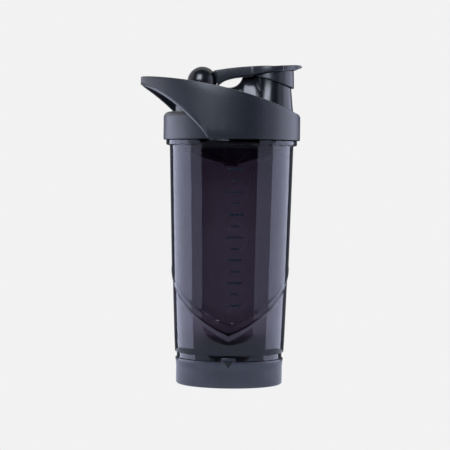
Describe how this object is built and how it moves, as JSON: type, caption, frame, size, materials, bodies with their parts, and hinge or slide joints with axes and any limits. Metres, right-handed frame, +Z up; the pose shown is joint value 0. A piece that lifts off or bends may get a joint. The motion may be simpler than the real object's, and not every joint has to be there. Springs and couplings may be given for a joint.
{
  "type": "protein shaker bottle",
  "caption": "Tapered see-through shaker bottle with a screw lid, carry loop, flip cap on a ball hinge, mixing grid and a screw-on storage cup under the base.",
  "frame": {"origin": "on the bottle's axis, at the middle of the flat face that the base cup rests on", "axes": "+Z up along the bottle's axis, +X towards the spout, the carry loop reaches out towards -X, the arrow tab on the base cup faces -Y, turned 6.5 degrees towards -X"},
  "size_m": [0.1112, 0.094, 0.2194],
  "materials": {
    "smoke_plastic": "gloss, see-through smoke",
    "smoke_plastic_foot": "gloss, see-through smoke",
    "gloss_black": "high gloss",
    "matte_grey": "fine-grained matt",
    "satin_grey": "satin",
    "grid_plastic": "satin",
    "dark_silicone": "soft matt",
    "pin_steel": "ground"
  },
  "bodies": {
    "bottle": {"bottle": "smoke_plastic"},
    "lid_ring": {"lid_seal": "dark_silicone"},
    "lid": {"lid_core": "gloss_black", "lid_shell": "matte_grey", "hinge_pin": "pin_steel"},
    "cap": {"flip_cap": "satin_grey", "spout_seal": "dark_silicone"},
    "grid": {"mixing_insert": "grid_plastic"},
    "base_ring": {"base_seal": "dark_silicone"},
    "base": {"base_cup": "smoke_plastic_foot"}
  },
  "joints": [
    {"name": "lid_lift", "type": "slide", "parent": "bottle", "child": "lid_ring", "axis": [0, 0, 1], "range_m": [0, 0.036]},
    {"name": "lid_turn", "type": "hinge", "parent": "lid_ring", "child": "lid", "pos_m": [0, 0, 0.18], "axis": [0, 0, 1], "range_deg": [0, 1080]},
    {"name": "cap_flip", "type": "hinge", "parent": "lid", "child": "cap", "pos_m": [-0.021, 0, 0.2076], "axis": [0, -1, 0], "range_deg": [0, 120]},
    {"name": "grid_pull", "type": "slide", "parent": "lid", "child": "grid", "axis": [0, 0, -1], "range_m": [0, 0.014]},
    {"name": "base_drop", "type": "slide", "parent": "bottle", "child": "base_ring", "axis": [0, 0, -1], "range_m": [0, 0.012]},
    {"name": "base_turn", "type": "hinge", "parent": "base_ring", "child": "base", "pos_m": [0, 0, 0.01], "axis": [0, 0, -1], "range_deg": [0, 720]}
  ],
  "couplings": [
    {"joint": "lid_turn", "follows": "lid_lift", "rad_per_m": 523.6},
    {"joint": "base_turn", "follows": "base_drop", "rad_per_m": 1047.2}
  ]
}
